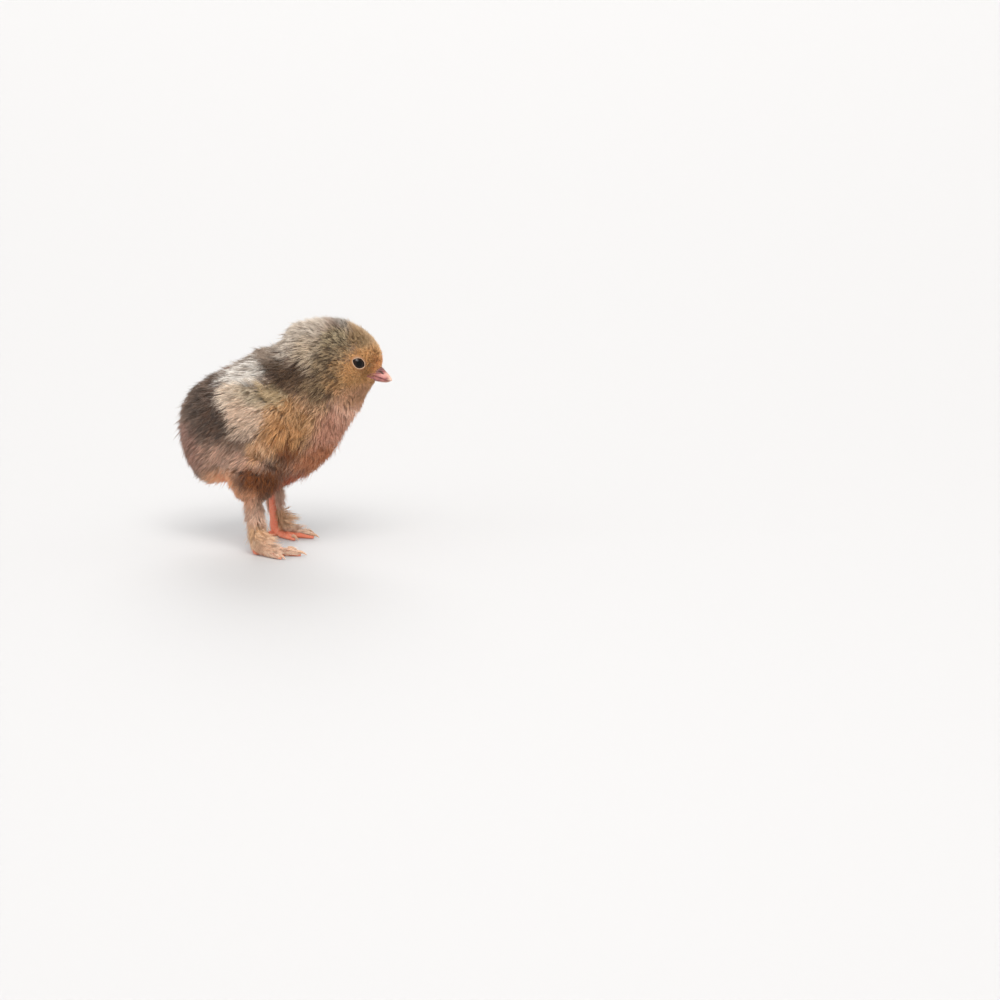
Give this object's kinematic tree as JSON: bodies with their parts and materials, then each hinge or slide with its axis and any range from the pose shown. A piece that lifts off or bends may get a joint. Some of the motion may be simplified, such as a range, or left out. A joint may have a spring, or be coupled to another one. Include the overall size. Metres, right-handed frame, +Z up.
{
  "type": "chick",
  "caption": "Downy domestic chick a few days old, standing still with its head turned slightly to its left, grey, cream and gold down, feathered shanks.",
  "frame": {"origin": "on the floor under the middle of the chick's whole length and width, about 8 mm ahead of its feet", "axes": "+X the way the chick faces, +Y its left side, +Z up"},
  "size_m": [0.087, 0.0528, 0.0946],
  "materials": {
    "body_down": "soft matt down",
    "head_down": "soft matt down",
    "wing_down": "soft matt down",
    "thigh_down": "soft matt down",
    "leg_skin": "satin scaled skin",
    "claw_horn": "satin horn",
    "beak_horn": "satin horn",
    "eye": "wet gloss"
  },
  "bodies": {
    "root": {"trunk": "body_down", "tail": "body_down", "neck": "body_down", "head": "head_down", "wing_right": "wing_down", "wing_left": "wing_down", "thigh_right": "thigh_down", "thigh_left": "thigh_down", "shank_right": "leg_skin", "shank_left": "leg_skin", "toe_middle_right": "leg_skin", "toe_inner_right": "leg_skin", "toe_outer_right": "leg_skin", "toe_hind_right": "leg_skin", "toe_middle_left": "leg_skin", "toe_inner_left": "leg_skin", "toe_outer_left": "leg_skin", "toe_hind_left": "leg_skin", "claw_middle_right": "claw_horn", "claw_inner_right": "claw_horn", "claw_outer_right": "claw_horn", "claw_hind_right": "claw_horn", "claw_middle_left": "claw_horn", "claw_inner_left": "claw_horn", "claw_outer_left": "claw_horn", "claw_hind_left": "claw_horn", "beak_upper": "beak_horn", "beak_lower": "beak_horn", "eye_right": "eye", "eye_left": "eye"}
  },
  "joints": []
}
